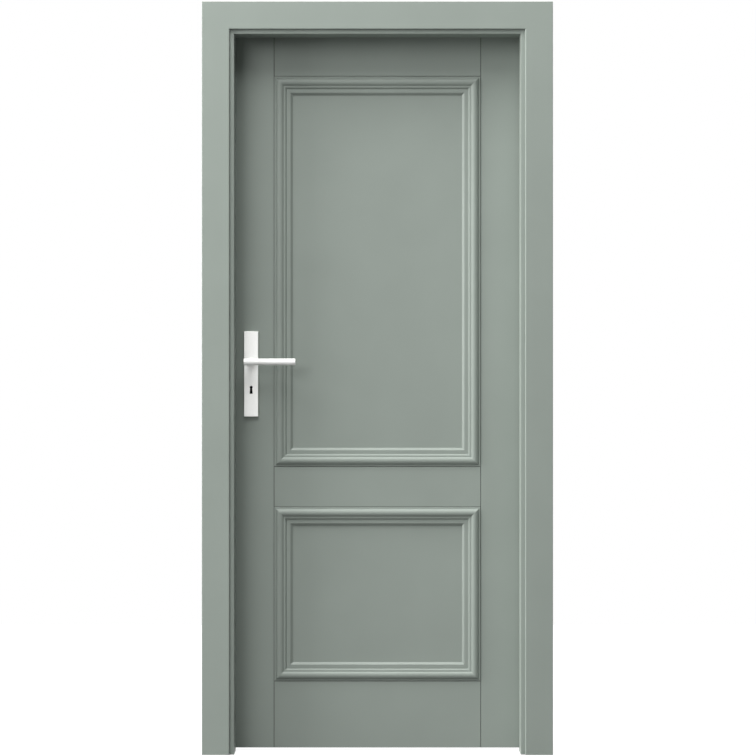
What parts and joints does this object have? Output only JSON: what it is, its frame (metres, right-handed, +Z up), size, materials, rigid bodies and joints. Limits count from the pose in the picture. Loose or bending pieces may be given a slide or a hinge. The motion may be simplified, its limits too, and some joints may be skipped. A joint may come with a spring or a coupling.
{
  "type": "interior door with frame",
  "caption": "Painted two-panel interior door with bolection mouldings, lever handle and mortise lock, hung in an adjustable rebated frame with flat casings.",
  "frame": {"origin": "on the floor, at the middle of the door's width and of its depth from the front casing to the end of the back lever", "axes": "+X to the right as seen from the push side, +Y through the door towards the pull side, +Z up"},
  "size_m": [0.987, 0.1994, 2.1175],
  "materials": {
    "painted_wood": "satin lacquer, grey-green",
    "white_metal": "semi-gloss white coating",
    "satin_steel": "satin",
    "seal_rubber": "matt",
    "beech": "raw"
  },
  "bodies": {
    "frame": {"latch_jamb": "painted_wood", "hinge_jamb": "painted_wood", "head_jamb": "painted_wood", "front_casing_left": "painted_wood", "front_casing_right": "painted_wood", "front_casing_head": "painted_wood", "back_casing_left": "painted_wood", "back_casing_right": "painted_wood", "back_casing_head": "painted_wood", "seal_left": "seal_rubber", "seal_right": "seal_rubber", "seal_head": "seal_rubber", "strike_plate": "satin_steel", "strike_screws": "satin_steel", "corner_screws": "satin_steel", "hinge_frame_part_1": "satin_steel", "hinge_frame_part_2": "satin_steel", "hinge_frame_part_3": "satin_steel"},
    "leaf": {"latch_stile": "painted_wood", "hinge_stile": "painted_wood", "top_rail": "painted_wood", "lock_rail": "painted_wood", "bottom_rail": "painted_wood", "upper_panel": "painted_wood", "lower_panel": "painted_wood", "upper_moulding_front_top": "painted_wood", "upper_moulding_front_bottom": "painted_wood", "upper_moulding_front_left": "painted_wood", "upper_moulding_front_right": "painted_wood", "upper_moulding_back_top": "painted_wood", "upper_moulding_back_bottom": "painted_wood", "upper_moulding_back_left": "painted_wood", "upper_moulding_back_right": "painted_wood", "lower_moulding_front_top": "painted_wood", "lower_moulding_front_bottom": "painted_wood", "lower_moulding_front_left": "painted_wood", "lower_moulding_front_right": "painted_wood", "lower_moulding_back_top": "painted_wood", "lower_moulding_back_bottom": "painted_wood", "lower_moulding_back_left": "painted_wood", "lower_moulding_back_right": "painted_wood", "dowels": "beech", "hinge_leaf_part_1": "satin_steel", "hinge_leaf_part_2": "satin_steel", "hinge_leaf_part_3": "satin_steel", "lock_case": "satin_steel", "lock_cover": "satin_steel", "lock_forend": "satin_steel", "lock_screws": "satin_steel", "plate_front": "white_metal", "plate_back": "white_metal", "plate_screws": "white_metal"},
    "handle": {"lever_front": "white_metal", "lever_back": "white_metal", "spindle": "satin_steel", "follower": "satin_steel", "grub_screws": "satin_steel"},
    "latch": {"latch_bolt": "satin_steel"},
    "deadbolt": {"dead_bolt": "satin_steel"}
  },
  "joints": [
    {"name": "leaf_swing", "type": "hinge", "parent": "frame", "child": "leaf", "pos_m": [0.431, 0.0325, 1.078], "axis": [0, 0, -1], "range_deg": [0, 170]},
    {"name": "handle_turn", "type": "hinge", "parent": "leaf", "child": "handle", "pos_m": [-0.359, 0.01975, 1.105], "axis": [0, 1, 0], "range_deg": [0, 40], "stiffness_Nm_per_rad": 0.8, "springref_deg": -57.3},
    {"name": "latch_slide", "type": "slide", "parent": "leaf", "child": "latch", "axis": [1, 0, 0], "range_m": [0, 0.0116]},
    {"name": "deadbolt_slide", "type": "slide", "parent": "leaf", "child": "deadbolt", "axis": [-1, 0, 0], "range_m": [0, 0.02]}
  ],
  "couplings": [
    {"joint": "latch_slide", "follows": "handle_turn", "m_per_rad": 0.01647}
  ]
}
